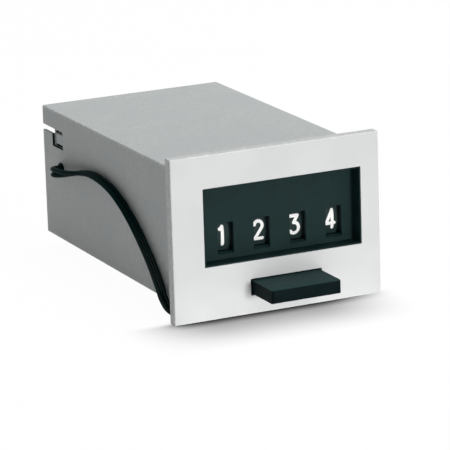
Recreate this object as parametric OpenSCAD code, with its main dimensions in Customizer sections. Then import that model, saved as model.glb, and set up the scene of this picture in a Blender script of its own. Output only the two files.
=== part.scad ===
// Electromechanical panel counter with number wheels, a push reset key and two flying leads.
// Millimetres, +Z up, +Y to the rear. The origin is the middle of the panel seat, the plate's back.

/* [Front plate] */
// Thickness of the front plate
plate_t = 3; // [2.6:0.1:4]
// How far the plate's rim stands out past the housing's sides
rim_side = 3; // [2:0.25:6]
// How far the plate's rim stands out above and below the housing
rim_top = 3.75; // [2:0.25:6]
// Chamfer round the plate's front edge
plate_chamfer = 0.3; // [0.1:0.05:0.6]
// Depth of the pocket in the plate's back that seats the housing
seat_depth = 0.8; // [0.5:0.1:1.1]

/* [Housing] */
// Outside height of the sheet housing
housing_h = 36.5; // [36:0.25:42]
// Sheet thickness of the housing
sheet_t = 0.8; // [0.6:0.1:1]
// Outside radius of the folded corners
bend_r = 0.5; // [0.4:0.1:2]
// How far the rear cover is set in from the housing's rear edge
rear_recess = 6; // [4:0.5:12]
// Height of the slot that runs in from the housing's rear edge
slot_h = 1.6; // [1.2:0.1:2.4]
// Length of the latch window at the slot's front end
latch_l = 7.2; // [6.4:0.1:8]
// Height of the latch window
latch_h = 5; // [4.4:0.1:6]
// How far the latch window's top edge lies below the housing's top
latch_drop = 5.25; // [4:0.25:7]

/* [Display] */
// Distance from one digit to the next
digit_pitch = 10.5; // [10:0.1:12]
// Width of each digit opening in the mask
opening_w = 4.6; // [4:0.1:7]
// Height of each digit opening in the mask
opening_h = 7.8; // [6:0.1:9]
// Distance from the first digit's middle to the window's left edge
margin_left = 8; // [6.8:0.1:8.3]
// Distance from the last digit's middle to the window's right edge
margin_right = 6.1; // [5.5:0.1:6.5]
// Room between the window's top and the housing's ceiling
window_head = 4.3; // [4:0.1:6]
// Depth of the window below the wheels' axis
window_low = 6.15; // [5:0.05:6.2]
// Depth of the display recess below the plate's front
recess = 4.2; // [3.8:0.1:6]
// Thickness of the mask's face
mask_t = 1.2; // [0.8:0.1:2]
// Wall thickness of the mask's liner in the window
liner_t = 0.4; // [0.4:0.1:1]

/* [Number wheels] */
// Diameter of the number wheels
wheel_d = 24; // [22:0.2:24.6]
// Gap between the number wheels and the reset slide below them
wheel_floor = 1.5; // [1.4:0.1:2.4]
// Width of a wheel's rim
rim_w = 7.6; // [7.2:0.1:7.8]
// Diameter over the ratchet's teeth
ratchet_d = 14; // [12:0.2:15]
// Width of the ratchet
ratchet_w = 2.2; // [2:0.1:2.3]
// Diameter of the wheel shaft
shaft_d = 3; // [2.6:0.1:3.4]
// Radial running clearance of the turning pieces
run_gap = 0.05; // [0.03:0.01:0.08]

/* [Reset key] */
// Width of the reset key
key_w = 20; // [16:0.5:22]
// Height of the reset key
key_h = 3.7; // [3.2:0.1:3.9]
// How far the key stands out of the plate's front
key_out = 12; // [9:0.5:16]
// Height of the key's middle above the housing's floor
key_floor = 2.6; // [2.4:0.05:2.8]
// Chamfer round the key's front
key_nose = 0.9; // [0.4:0.1:1.2]
// Travel of the key
key_travel = 7; // [5:0.25:7.5]
// Gap round the key in its slot
key_gap = 0.35; // [0.15:0.05:0.4]

/* [Reset gears] */
// Module of the teeth
gear_m = 0.6; // [0.5:0.05:0.6]
// Teeth on the two small gears
pinion_teeth = 10; // [10:1:12]
// Teeth on the idler's large gear
idler_teeth = 27; // [22:1:27]
// Width of the rack and of the idler's small gear
rack_w = 1.6; // [1.2:0.1:2.4]
// Width of the large gear and of the shaft's gear
gear_w = 1.8; // [1.2:0.1:2.6]

/* [Drive magnet] */
// Length of the coil bobbin
coil_l = 33.8; // [28:0.2:44]
// Depth of the winding below the flanges' edge
winding_in = 1.3; // [1:0.1:3]
// Diameter of the core
core_d = 8; // [6:0.2:9]
// Thickness of the yoke
yoke_t = 2.2; // [1.8:0.1:2.6]
// Angle that the armature swings through
swing = 8; // [6:0.5:9]
// Sheet thickness of the frame plates
frame_t = 1; // [0.8:0.1:1.4]

/* [Leads] */
// Outside diameter of a lead
lead_d = 1.35; // [1:0.05:1.4]
// Height of the lead hole above the middle
lead_z = 2.2; // [0:0.1:4]

/* [Hidden] */
$fn = 48;
e = 0.01;
pressure_angle = 25;
backlash = 0.12;
addendum = 0.8 * gear_m;
dedendum = 1.05 * gear_m;
side_gap = 0.6;
gear_gap = 0.4;
wheel_gap = 0.8;
left_gap = 1;
right_gap = 1.1;
clip_space = 1.8;
coil_gap = 1;
spacer_r = 1.8;
seat_gap = 0.1;

// Stack-up across the width, from the left wall to the right wall.
gear_space = side_gap + rack_w + gear_gap + gear_w + 0.8;
stack_w = 3 * digit_pitch + rim_w + ratchet_w;
inner_w = gear_space + 2 * frame_t + left_gap + stack_w + right_gap + clip_space;
inner_h = housing_h - 2 * sheet_t;
housing_w = inner_w + 2 * sheet_t;
plate_w = housing_w + 2 * rim_side;
plate_h = housing_h + 2 * rim_top;
left_out = -inner_w / 2 + gear_space;
left_in = left_out + frame_t;
stack_x = left_in + left_gap;
right_in = stack_x + stack_w + right_gap;
right_out = right_in + frame_t;
wall_in = inner_w / 2;
wall_out = housing_w / 2;
rail_x1 = left_out - side_gap;
rail_x0 = rail_x1 - rack_w;
gear_x1 = rail_x0 - gear_gap;
gear_x0 = gear_x1 - gear_w;

// Stack-up in height, from the housing's floor to its ceiling.
floor_z = -inner_h / 2;
ceiling_z = inner_h / 2;
key_z = floor_z + key_floor;
slide_t = 1.2;
slide_z0 = key_z - 1.45;
slide_top = slide_z0 + slide_t;
wheel_r = wheel_d / 2;
axis_z = slide_top + wheel_floor + wheel_r;
pawl_z = slide_top + 4.1;
yoke_z1 = ceiling_z - 1.8;
yoke_z0 = yoke_z1 - yoke_t;
spacer_z = floor_z + 4.85;
flange_d = yoke_z0 - coil_gap - spacer_z - spacer_r - 0.25;
coil_z = yoke_z0 - coil_gap - flange_d / 2;
post_z = coil_z - flange_d / 2 + 3;
latch_top = housing_h / 2 - latch_drop;
win_top = ceiling_z - window_head;
win_low = axis_z - window_low;

// Stack-up along the depth, from the mask to the rear edge.
mask_face = recess - plate_t;
mask_back = mask_face + mask_t;
flange_y = 1.2 - seat_depth;
axis_y = mask_back + wheel_gap + wheel_r;
armature_t = 2;
arm_y = axis_y + wheel_r + 8.7;
pin_z = yoke_z0 + yoke_t / 2;
pole_arm = pin_z - coil_z + core_d / 2;
pole_y = arm_y + armature_t / 2 * cos(swing) + pole_arm * sin(swing) + 0.25;
coil_y = pole_y + 2.6;
leg_y = coil_y + coil_l;
leg_back = leg_y + yoke_t;
cover_y = leg_back + 3.8;
cover_t = 1;
housing_l = cover_y + cover_t + rear_recess;
lead_y = leg_y + 0.8;
mag_x = (left_in + right_in) / 2;
tag_x = mag_x - flange_d / 2 + 0.9;

// Display window and the feet that clamp the mask behind it.
win_x0 = wheel_x(0) - margin_left;
win_x1 = wheel_x(3) + margin_right;
foot_l = 7;
foot_zs = [win_top + 2.1, win_low - 2.1];
foot_xs = [left_in + foot_l / 2, right_in - foot_l / 2];
foot_screw_r = 1;

// Reset key, slide, rack and gears.
key_x = wheel_x(1.5) - 0.45;
frame_z0 = slide_top + 0.4;
frame_z1 = ceiling_z - 0.65;
frame_y0 = mask_back + 0.4;
frame_y1 = leg_y - 1.5;
shaft_r = shaft_d / 2;
spacers = [[axis_y - 8.2, ceiling_z - 2.85], [leg_y - 6, spacer_z]];
ears = [coil_y + 2, leg_y - 10];
pinion_r = gear_m * pinion_teeth / 2;
idler_r = gear_m * idler_teeth / 2;
idler_z = floor_z + idler_r + addendum + 0.55;
mesh_d = idler_r + pinion_r;
idler_y = axis_y + sqrt(mesh_d * mesh_d - pow(axis_z - idler_z, 2));
mesh_angle = atan2(axis_z - idler_z, axis_y - idler_y);
rack_z = idler_z - pinion_r;
rack_pitch = PI * gear_m;
rack_back = ceil((key_travel + 3) / rack_pitch);
rail_y0 = 1.2;
rail_y1 = idler_y + 5;
axle_r = 1;
guide_z = frame_z0 + 1.1;
guide_y = key_travel + 3.5;
spring_r = 1.1;
spring_l = 16;
spring_x = (rail_x0 + rail_x1) / 2;

// Drive pawl and armature.
pawl_pin_r = 0.9;
arm_pin_r = 0.9;
tip_r = ratchet_d / 2 + 0.35;
tip_y = axis_y + tip_r * cos(45);
tip_z = axis_z - tip_r * sin(45);
shown = [1, 2, 3, 4];

// Lead routes, each point counted from the middle of the lead hole's outer end.
lead_out = 0.4;
lead_step = 0.72;
lead_at = [-wall_out - lead_out, lead_y, lead_z];
route_a = [
    [0, 0, -0.72], [-0.4, 0, -0.72], [-1.8, -0.38, -0.7], [-2.8, -1.42, -0.6], [-3.15, -2.85, -0.4],
    [-2.9, -6.2, 0.2], [-2.15, -10.2, 1.2], [-1.3, -14.4, 2.3], [-0.7, -18.1, 3.2], [-0.4, -22, 3.8],
    [-0.4, -25.9, 4.1], [-0.4, -29.8, 4], [-0.4, -33.7, 3.6], [-0.4, -37.5, 2.9], [-0.4, -41.2, 1.8],
    [-0.4, -44.8, 0.4], [-0.4, -48.2, -1.3], [-0.4, -51.5, -3.2], [-0.4, -54.6, -5.3], [-0.4, -57.6, -7.5],
    [-0.4, -60.5, -9.8], [-0.4, -63.2, -12.2], [-0.4, -65.7, -14.8], [-0.4, -68, -17.4],
    [-0.4, -70, -20], [0.5, -71.4, -22.1], [2.5, -71.9, -23.4], [5.9, -71.8, -23.5],
    [9.7, -71.4, -23.5], [13.5, -70.6, -23.5], [16.9, -69, -23.5], [19.6, -66.4, -23.5],
    [21.2, -63, -23.5], [21.9, -59.2, -23.5], [22, -55.3, -23.5], [21.9, -51.4, -23.5],
    [21.7, -47.5, -23.5], [21.5, -43.6, -23.5]
];
route_b = [
    [0, 0, 0.72], [-0.4, 0, 0.72], [-1.8, -0.38, 0.8], [-2.85, -1.42, 0.95], [-3.3, -2.9, 1.2],
    [-3.55, -6.8, 1.65], [-3.35, -11, 2.1], [-2.8, -15.2, 2.7], [-2.2, -19, 3.4], [-1.9, -22.6, 3.9],
    [-1.9, -26.3, 4.1], [-1.9, -30.1, 4], [-1.9, -33.9, 3.6], [-1.9, -37.7, 2.9], [-1.9, -41.4, 1.8],
    [-1.9, -44.9, 0.4], [-1.9, -48.3, -1.3], [-1.9, -51.6, -3.2], [-1.9, -54.7, -5.3], [-1.9, -57.7, -7.5],
    [-1.9, -60.6, -9.8], [-1.9, -63.3, -12.2], [-1.9, -65.8, -14.8], [-1.9, -68.2, -17.4],
    [-1.8, -70.4, -20], [-0.9, -72.3, -22.2], [1.2, -73.4, -23.4], [4.6, -73.6, -23.5],
    [8.5, -73.3, -23.5], [12.4, -72.7, -23.5], [16.2, -71.5, -23.5], [19.7, -69.3, -23.5],
    [22.2, -66.1, -23.5], [23.5, -62.3, -23.5], [23.9, -58.4, -23.5], [23.9, -54.5, -23.5],
    [23.8, -50.5, -23.5], [23.7, -46.6, -23.5]
];
tip_l = 5;

function wheel_x(i) = stack_x + ratchet_w + rim_w / 2 + i * digit_pitch;
function unit(v) = v / norm(v);
function at(p, base) = [for (q = p) base + q];
function tangents(p) = [
    for (i = [0:len(p) - 1])
        unit(p[min(i + 1, len(p) - 1)] - p[max(i - 1, 0)])
];
function normals(t, n, i = 0) =
    i == len(t) ? [] :
    let (m = unit(n - t[i] * (n * t[i])))
    concat([m], normals(t, m, i + 1));
function helix(r, l, turns, steps) = [
    for (i = [0:turns * steps])
        [r * cos(360 * i / steps), l * i / (turns * steps), r * sin(360 * i / steps)]
];

// A round tube swept along points as one closed polyhedron.
module tube(points, r, sides, first) {
    t = tangents(points);
    n = normals(t, first);
    last = len(points) - 1;
    rings = [
        for (i = [0:last], k = [0:sides - 1])
            points[i] + r * (cos(360 * k / sides) * n[i] + sin(360 * k / sides) * cross(t[i], n[i]))
    ];
    walls = [
        for (i = [0:last - 1], k = [0:sides - 1])
            let (a = i * sides + k, b = i * sides + (k + 1) % sides)
            [a, a + sides, b + sides, b]
    ];
    polyhedron(
        rings,
        concat(
            [[for (k = [0:sides - 1]) k]],
            walls,
            [[for (k = [0:sides - 1]) last * sides + sides - 1 - k]]
        ),
        convexity = 6
    );
}

// A flat shape drawn in Y and Z, drawn out along X.
module along_x(x0, x1)
    translate([x0, 0, 0]) rotate([90, 0, 90]) linear_extrude(x1 - x0) children();

// A flat shape drawn in X and Z, drawn out along Y.
module along_y(y0, y1)
    translate([0, y1, 0]) rotate([90, 0, 0]) linear_extrude(y1 - y0) children();

module rod_x(x0, x1, y, z, r)
    translate([x0, y, z]) rotate([0, 90, 0]) cylinder(r = r, h = x1 - x0);

module rod_y(x, y0, y1, z, r)
    translate([x, y0, z]) rotate([-90, 0, 0]) cylinder(r = r, h = y1 - y0);

module block(x0, x1, y0, y1, z0, z1)
    translate([x0, y0, z0]) cube([x1 - x0, y1 - y0, z1 - z0]);

module span(a0, a1, b0, b1)
    translate([a0, b0]) square([a1 - a0, b1 - b0]);

module rounded(w, h, r) {
    square([w - 2 * r, h], center = true);
    square([w, h - 2 * r], center = true);
    for (sx = [-1, 1], sz = [-1, 1])
        translate([sx * (w / 2 - r), sz * (h / 2 - r)]) circle(r);
}

// Wedge that chamfers the front edge at the top of a block.
module edge_cut(front, half, size, length)
    along_x(-length / 2, length / 2)
        polygon([
            [front - 1, half - size - 1],
            [front + size + 1, half + 1],
            [front - 1, half + 1]
        ]);

module gear(teeth, turn) {
    r = gear_m * teeth / 2;
    base = r * cos(pressure_angle);
    root = r - dedendum;
    low = max(base, root);
    top = r + addendum;
    half = (rack_pitch / 2 - backlash) / 2 / r * 180 / PI;
    at_pitch = tan(pressure_angle) * 180 / PI - pressure_angle;
    levels = [root - e, low, low + (top - low) / 3, low + (top - low) * 2 / 3, top];
    polygon([
        for (k = [0:teeth - 1], side = [-1, 1], j = [0:4])
            let (
                q = levels[side < 0 ? j : 4 - j],
                u = sqrt(max(pow(max(q, base) / base, 2) - 1, 0)),
                width = half + at_pitch - (u * 180 / PI - atan(u)),
                a = turn + 360 * k / teeth + side * width
            )
            [q * cos(a), q * sin(a)]
    ]);
}

module front_plate()
    color("#dcdddd") difference() {
        along_y(-plate_t, 0) square([plate_w, plate_h], center = true);
        for (a = [0, 180])
            rotate([0, a, 0]) edge_cut(-plate_t, plate_h / 2, plate_chamfer, plate_w + 2);
        for (a = [90, 270])
            rotate([0, a, 0]) edge_cut(-plate_t, plate_w / 2, plate_chamfer, plate_h + 2);
        along_y(-plate_t - 1, 1)
            span(win_x0, win_x1, win_low, win_top);
        along_y(-plate_t - 1, 1)
            translate([key_x, key_z]) square([key_w + 2 * key_gap, key_h + 2 * key_gap], center = true);
        along_y(-seat_depth, 1)
            rounded(housing_w + 2 * seat_gap, housing_h + 2 * seat_gap, bend_r + seat_gap);
        for (x = foot_xs, z = foot_zs)
            rod_y(x, -seat_depth - 1.5, 0, z, foot_screw_r + run_gap);
    }

module display_mask()
    color("#1d2426") difference() {
        union() {
            along_y(0.1 - plate_t, mask_back)
                span(win_x0 + 0.05, win_x1 - 0.05, win_low + 0.05, win_top - 0.05);
            along_y(-seat_depth, flange_y)
                span(win_x0 - 1.2, win_x1 + 1.2, win_low - 3.6, win_top + 3.6);
        }
        along_y(-plate_t - 1, mask_face)
            span(win_x0 + liner_t, win_x1 - liner_t, win_low + liner_t, win_top - liner_t);
        for (i = [0:3])
            along_y(mask_face - 1, mask_back + 1)
                translate([wheel_x(i), axis_z]) square([opening_w, opening_h], center = true);
        for (x = foot_xs, z = foot_zs)
            rod_y(x, -seat_depth - 1, flange_y + 1, z, foot_screw_r + run_gap);
    }

module latch_slots() {
    span(cover_y + 0.5 - latch_l, cover_y + 0.5, latch_top - latch_h, latch_top);
    span(cover_y, housing_l + 1, latch_top - slot_h, latch_top);
}

module housing()
    color("#8f9393") difference() {
        along_y(-seat_depth, housing_l) difference() {
            rounded(housing_w, housing_h, bend_r);
            rounded(inner_w, inner_h, max(bend_r - sheet_t + 0.1, 0.1));
            span(-0.15, 0.15, -housing_h, 0);
        }
        along_x(-wall_out - 1, wall_out + 1) latch_slots();
        rod_x(-wall_out - 1, 0, lead_y, lead_z, 1.75);
    }

module cover_ear(side)
    mirror([side > 0 ? 1 : 0, 0, 0]) {
        block(-wall_in + 0.15, -wall_in + 0.95, cover_y - 8, cover_y + e,
              latch_top - latch_h - 1, latch_top + 1);
        block(-wall_in - sheet_t + 0.4, -wall_in + 0.2, cover_y + 1 - latch_l, cover_y - 1.4,
              latch_top - latch_h + 1, latch_top - slot_h + 0.5);
    }

module rear_cover()
    color("#85898a") difference() {
        union() {
            along_y(cover_y, cover_y + cover_t) rounded(inner_w - 0.3, inner_h - 0.3, 0.4);
            cover_ear(-1);
            cover_ear(1);
        }
        rod_y(mag_x, cover_y - 1, cover_y + cover_t + 1, post_z, 1.3);
    }

module rear_post()
    color("#b9b39c") difference() {
        union() {
            rod_y(mag_x, leg_back, cover_y, post_z, 2.5);
            rod_y(mag_x, leg_y + 0.2, leg_back + e, post_z, 1.5);
        }
        rod_y(mag_x, leg_back + 0.8, cover_y + 1, post_z, 1.3);
    }

module rear_screw()
    color("#c9cbcc") difference() {
        union() {
            rod_y(mag_x, leg_back + 1.2, cover_y + cover_t + e, post_z, 1.25);
            rod_y(mag_x, cover_y + cover_t, cover_y + cover_t + 1.4, post_z, 2.4);
        }
        block(mag_x - 3, mag_x + 3, cover_y + cover_t + 0.7, cover_y + cover_t + 2,
              post_z - 0.3, post_z + 0.3);
    }

module lead_grommet()
    color("#17191a") difference() {
        union() {
            rod_x(-wall_out - lead_out, -wall_in + lead_out, lead_y, lead_z, 1.7);
            rod_x(-wall_out - lead_out, -wall_out, lead_y, lead_z, 1.95);
            rod_x(-wall_in, -wall_in + lead_out, lead_y, lead_z, 1.95);
        }
        for (s = [-1, 1])
            rod_x(-wall_out - 1, -wall_in + 1, lead_y, lead_z + s * lead_step, lead_d / 2 + 0.02);
    }

module inner_leads()
    color("#16181a")
        for (s = [-1, 1])
            rod_x(-wall_out - lead_out, tag_x - 0.52, lead_y, lead_z + s * lead_step, lead_d / 2);

module lead_a()
    color("#16181a") tube(at(route_a, lead_at), lead_d / 2, 8, [0, 0, 1]);

module lead_b()
    color("#16181a") tube(at(route_b, lead_at), lead_d / 2, 8, [0, 0, 1]);

module lead_tip(route) {
    end = lead_at + route[len(route) - 1];
    way = tangents(route)[len(route) - 1];
    translate(end) rotate([0, 0, atan2(way[1], way[0])]) rotate([0, 90, 0])
        cylinder(r = 0.4, h = tip_l);
}

module lead_tips()
    color("#c8c6bd") {
        lead_tip(route_a);
        lead_tip(route_b);
    }

module frame_outline() {
    difference() {
        union() {
            span(frame_y0, frame_y1, frame_z0, frame_z1);
            for (z = foot_zs)
                span(flange_y, frame_y0 + e, z - 1.4, z + 1.4);
        }
        span(coil_y + 4, leg_y - 6, coil_z - 9, coil_z + 7);
        translate([axis_y, axis_z]) circle(shaft_r + run_gap);
        for (s = spacers)
            translate(s) circle(1.25);
        for (y = ears)
            span(y - 0.1, y + 6.1, yoke_z0 - 0.1, yoke_z1 + 0.1);
    }
}

module left_frame_plate()
    color("#a9adaf") {
        along_x(left_out, left_in) difference() {
            frame_outline();
            translate([idler_y, idler_z]) circle(axle_r + 0.02);
            translate([guide_y, guide_z]) circle(axle_r + 0.02);
        }
        for (z = foot_zs)
            foot(left_in - e, left_in + foot_l, foot_xs[0], z);
        block(left_out - 3, left_out + e, rail_y1 + spring_l, rail_y1 + spring_l + 1, frame_z0, guide_z + 2);
    }

module foot(x0, x1, x, z)
    difference() {
        block(x0, x1, flange_y, flange_y + 1, z - 1.4, z + 1.4);
        rod_y(x, flange_y - 1, flange_y + 2, z, foot_screw_r + run_gap);
    }

module right_frame_plate()
    color("#a9adaf") {
        along_x(right_in, right_out) frame_outline();
        for (z = foot_zs)
            foot(right_in - foot_l, right_in + e, foot_xs[1], z);
    }

module frame_spacers()
    color("#bfc1c2")
        for (s = spacers) {
            rod_x(left_in, right_in, s[0], s[1], spacer_r);
            rod_x(left_out, right_out, s[0], s[1], 1.2);
        }

module frame_screws()
    color("#c9cbcc")
        for (x = foot_xs, z = foot_zs)
            difference() {
                union() {
                    rod_y(x, -seat_depth - 1.4, flange_y + 1 + e, z, foot_screw_r);
                    rod_y(x, flange_y + 1, flange_y + 2.2, z, 1.9);
                }
                block(x - 3, x + 3, flange_y + 1.7, flange_y + 3, z - 0.25, z + 0.25);
            }

module wheel_shaft()
    color("#c4c6c8") difference() {
        rod_x(gear_x0 - 0.2, right_out + 1, axis_y, axis_z, shaft_r);
        block(left_in, right_in, axis_y - 0.4, axis_y + 0.4, axis_z + shaft_r - 0.5, axis_z + shaft_r + 1);
    }

module shaft_pinion()
    color("#c2a24e")
        along_x(gear_x0, gear_x1)
            translate([axis_y, axis_z]) difference() {
                gear(pinion_teeth, mesh_angle + 180 + 180 / pinion_teeth);
                circle(shaft_r + 0.02);
            }

module shaft_clip()
    color("#8d9092")
        along_x(right_out + 0.1, right_out + 0.6)
            translate([axis_y, axis_z]) difference() {
                circle(3);
                circle(shaft_r + 0.02);
                span(0, 4, -0.8, 0.8);
            }

module brake_washers()
    color("#9b9d9f")
        for (i = [0:4]) {
            x0 = i == 0 ? left_in : wheel_x(i - 1) + rim_w / 2;
            x1 = i == 4 ? right_in : wheel_x(i) - rim_w / 2 - ratchet_w;
            along_x(x0 + 0.1, x1 - 0.1)
                translate([axis_y, axis_z]) difference() {
                    circle(3.4);
                    circle(shaft_r + run_gap);
                }
        }

// The digit that shows faces -Y, and the next one up follows below it.
module number_wheel(i)
    translate([wheel_x(i), axis_y, axis_z]) rotate([36 * shown[i] + 180, 0, 0]) {
        difference() {
            union() {
                rod_x(-rim_w / 2, rim_w / 2, 0, 0, wheel_r);
                along_x(-rim_w / 2 - ratchet_w, e - rim_w / 2) ratchet();
            }
            difference() {
                rod_x(2 - rim_w / 2, rim_w / 2 + 1, 0, 0, wheel_r - 1.6);
                rod_x(-rim_w, rim_w, 0, 0, 4.2);
                rod_x(-rim_w, 0.8, 8, 0, 1);
            }
            rod_x(-rim_w, rim_w, 0, 0, shaft_r + run_gap);
            block(-1.6, 0.8, 0, 5, -0.8, 0.8);
        }
    }

module ratchet() {
    tip = ratchet_d / 2;
    polygon([
        for (k = [0:9], j = [0, 1])
            let (r = j == 1 ? tip : k == 0 ? tip - 2.4 : tip - 1.4, a = 36 * k + (j == 1 ? 35 : 1))
            [r * cos(a), r * sin(a)]
    ]);
}

module wheel_pawl(i)
    translate([wheel_x(i), axis_y, axis_z]) rotate([36 * shown[i] + 180, 0, 0])
        along_x(-1.5, 0.4) difference() {
            union() {
                translate([8, 0]) circle(1.7);
                polygon([
                    [8, 1], [5, 0.6], [shaft_r + 0.3, 0.5], [shaft_r + 0.1, 0],
                    [shaft_r + 0.3, -0.5], [5, -0.6], [8, -1]
                ]);
            }
            translate([8, 0]) circle(1 + run_gap);
        }

module thousands_wheel() color("#202326") number_wheel(0);
module hundreds_wheel() color("#202326") number_wheel(1);
module tens_wheel() color("#202326") number_wheel(2);
module units_wheel() color("#202326") number_wheel(3);
module thousands_pawl() color("#b98f45") wheel_pawl(0);
module hundreds_pawl() color("#b98f45") wheel_pawl(1);
module tens_pawl() color("#b98f45") wheel_pawl(2);
module units_pawl() color("#b98f45") wheel_pawl(3);

module reset_key()
    color("#1b2022") difference() {
        union() {
            translate([key_x, 0, key_z]) difference() {
                along_y(-plate_t - key_out, 2.5) square([key_w, key_h], center = true);
                for (a = [0, 180])
                    rotate([0, a, 0]) edge_cut(-plate_t - key_out, key_h / 2, key_nose, key_w + 2);
                for (a = [90, 270])
                    rotate([0, a, 0]) edge_cut(-plate_t - key_out, key_w / 2, key_nose, key_h + 2);
            }
            along_y(0.05 - seat_depth, 1)
                translate([key_x, key_z]) square([key_w + 3, key_h], center = true);
        }
        block(key_x - 8.35, key_x + 8.35, -1.55, 3, slide_z0 - 0.05, slide_top + 0.05);
    }

module reset_slide()
    color("#b4b7b9") {
        block(key_x - 8.3, key_x + 8.3, -1.5, 9, slide_z0, slide_top);
        block(rail_x0, key_x, 4, 9, slide_z0, slide_top);
        along_x(rail_x0, rail_x1) difference() {
            union() {
                span(rail_y0, rail_y1, slide_z0, rack_z - dedendum);
                for (k = [-rack_back:1])
                    translate([idler_y + k * rack_pitch, rack_z]) rack_tooth();
            }
            span(guide_y - key_travel - 1.1, guide_y + 1.1, guide_z - 1.05, guide_z + 1.05);
        }
        rod_y(spring_x, rail_y1 - e, rail_y1 + 4, guide_z, 0.6);
    }

module rack_tooth() {
    half = (rack_pitch / 2 - backlash) / 2;
    lean = tan(pressure_angle);
    polygon([
        [-half - (dedendum + e) * lean, -dedendum - e],
        [half + (dedendum + e) * lean, -dedendum - e],
        [half - addendum * lean, addendum],
        [-half + addendum * lean, addendum]
    ]);
}

module reset_spring()
    color("#9fa3a6")
        translate([spring_x, rail_y1 + 0.25, guide_z])
            tube(helix(spring_r - 0.18, spring_l - 0.5, 9, 10), 0.18, 6, [1, 0, 0]);

module guide_stud()
    color("#bfc1c2") {
        rod_x(rail_x0 - 0.1, left_in, guide_y, guide_z, axle_r);
        rod_x(rail_x0 - 0.35, rail_x0 - 0.1 + e, guide_y, guide_z, 1.6);
    }

module idler_gear()
    color("#d8d2bd") difference() {
        union() {
            along_x(rail_x0, rail_x1)
                translate([idler_y, idler_z]) gear(pinion_teeth, 270 + 180 / pinion_teeth);
            along_x(gear_x0, gear_x1)
                translate([idler_y, idler_z]) gear(idler_teeth, mesh_angle);
            rod_x(gear_x0, rail_x1, idler_y, idler_z, pinion_r - dedendum - 0.1);
        }
        rod_x(gear_x0 - 1, rail_x1 + 1, idler_y, idler_z, axle_r + run_gap);
    }

module idler_axle()
    color("#bfc1c2") {
        rod_x(gear_x0 - 0.1, left_in, idler_y, idler_z, axle_r);
        rod_x(gear_x0 - 0.4, gear_x0 - 0.1 + e, idler_y, idler_z, 1.7);
    }

module yoke()
    color("#9a9ea0") difference() {
        union() {
            block(left_in, right_in, arm_y + 2.3, leg_back, yoke_z0, yoke_z1);
            for (y = ears)
                block(left_out, right_out, y, y + 6, yoke_z0, yoke_z1);
            block(mag_x - 8, mag_x + 8, leg_y, leg_back, coil_z - flange_d / 2 - 0.5, yoke_z1);
            for (x = [mag_x - 10, mag_x + 8.2])
                along_x(x, x + 1.8) {
                    translate([arm_y, pin_z]) circle(1.9);
                    span(arm_y, arm_y + 2.5, pin_z - 1.9, pin_z + 1.9);
                }
        }
        rod_x(mag_x - 12, mag_x + 12, arm_y, pin_z, arm_pin_r + 0.02);
        rod_y(mag_x, leg_y - 1, leg_back + 1, coil_z, 1.55);
        rod_y(mag_x, leg_y - 1, leg_back + 1, post_z, 1.55);
    }

module coil_core()
    color("#aeb2b5") difference() {
        rod_y(mag_x, pole_y, leg_y, coil_z, core_d / 2);
        rod_y(mag_x, leg_y - 6, leg_y + 1, coil_z, 1.55);
    }

module core_screw()
    color("#c9cbcc") difference() {
        union() {
            rod_y(mag_x, leg_y - 5.5, leg_back + e, coil_z, 1.5);
            rod_y(mag_x, leg_back, leg_back + 1.6, coil_z, 2.75);
        }
        block(mag_x - 3, mag_x + 3, leg_back + 0.8, leg_back + 3, coil_z - 0.35, coil_z + 0.35);
    }

module coil_bobbin()
    color("#e4ded0") difference() {
        union() {
            rod_y(mag_x, coil_y, coil_y + 1.2, coil_z, flange_d / 2);
            rod_y(mag_x, leg_y - 1.2, leg_y, coil_z, flange_d / 2);
            rod_y(mag_x, coil_y, leg_y, coil_z, core_d / 2 + 1.2);
        }
        rod_y(mag_x, coil_y - 1, leg_y + 1, coil_z, core_d / 2 + 0.1);
        for (s = [-1, 1])
            rod_y(tag_x, leg_y - 1, leg_y + 1, lead_z + s * lead_step, 0.52);
    }

module coil_winding()
    color("#a4622f") difference() {
        rod_y(mag_x, coil_y + 1.2, leg_y - 1.2, coil_z, flange_d / 2 - winding_in);
        rod_y(mag_x, coil_y, leg_y, coil_z, core_d / 2 + 1.2);
    }

module coil_pins()
    color("#c2a24e")
        for (s = [-1, 1])
            rod_y(tag_x, leg_y - 1, leg_y + 2.4, lead_z + s * lead_step, 0.5);

module armature()
    color("#a6aaad") difference() {
        union() {
            block(mag_x - 8, mag_x + 8, arm_y - armature_t / 2, arm_y + armature_t / 2, pawl_z + 3, pin_z);
            block(mag_x - 4, mag_x + 4, arm_y - armature_t / 2, arm_y + armature_t / 2, pawl_z, pawl_z + 3.1);
            rod_x(mag_x - 8, mag_x + 8, arm_y, pin_z, 1.9);
            rod_x(mag_x - 4, mag_x + 4, arm_y, pawl_z, 1.8);
        }
        rod_x(mag_x - 9, mag_x + 9, arm_y, pin_z, arm_pin_r + run_gap);
        rod_x(mag_x - 9, mag_x + 9, arm_y, pawl_z, pawl_pin_r + 0.02);
    }

module armature_pin()
    color("#c4c6c8") rod_x(mag_x - 10.3, mag_x + 10.3, arm_y, pin_z, arm_pin_r);

module armature_spring()
    color("#9fa3a6")
        translate([mag_x, arm_y + armature_t / 2 + 0.3, coil_z])
            tube(helix(core_d / 2 + 0.7, coil_y - arm_y - armature_t / 2 - 0.6, 3, 14), 0.25, 6, [1, 0, 0]);

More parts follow.
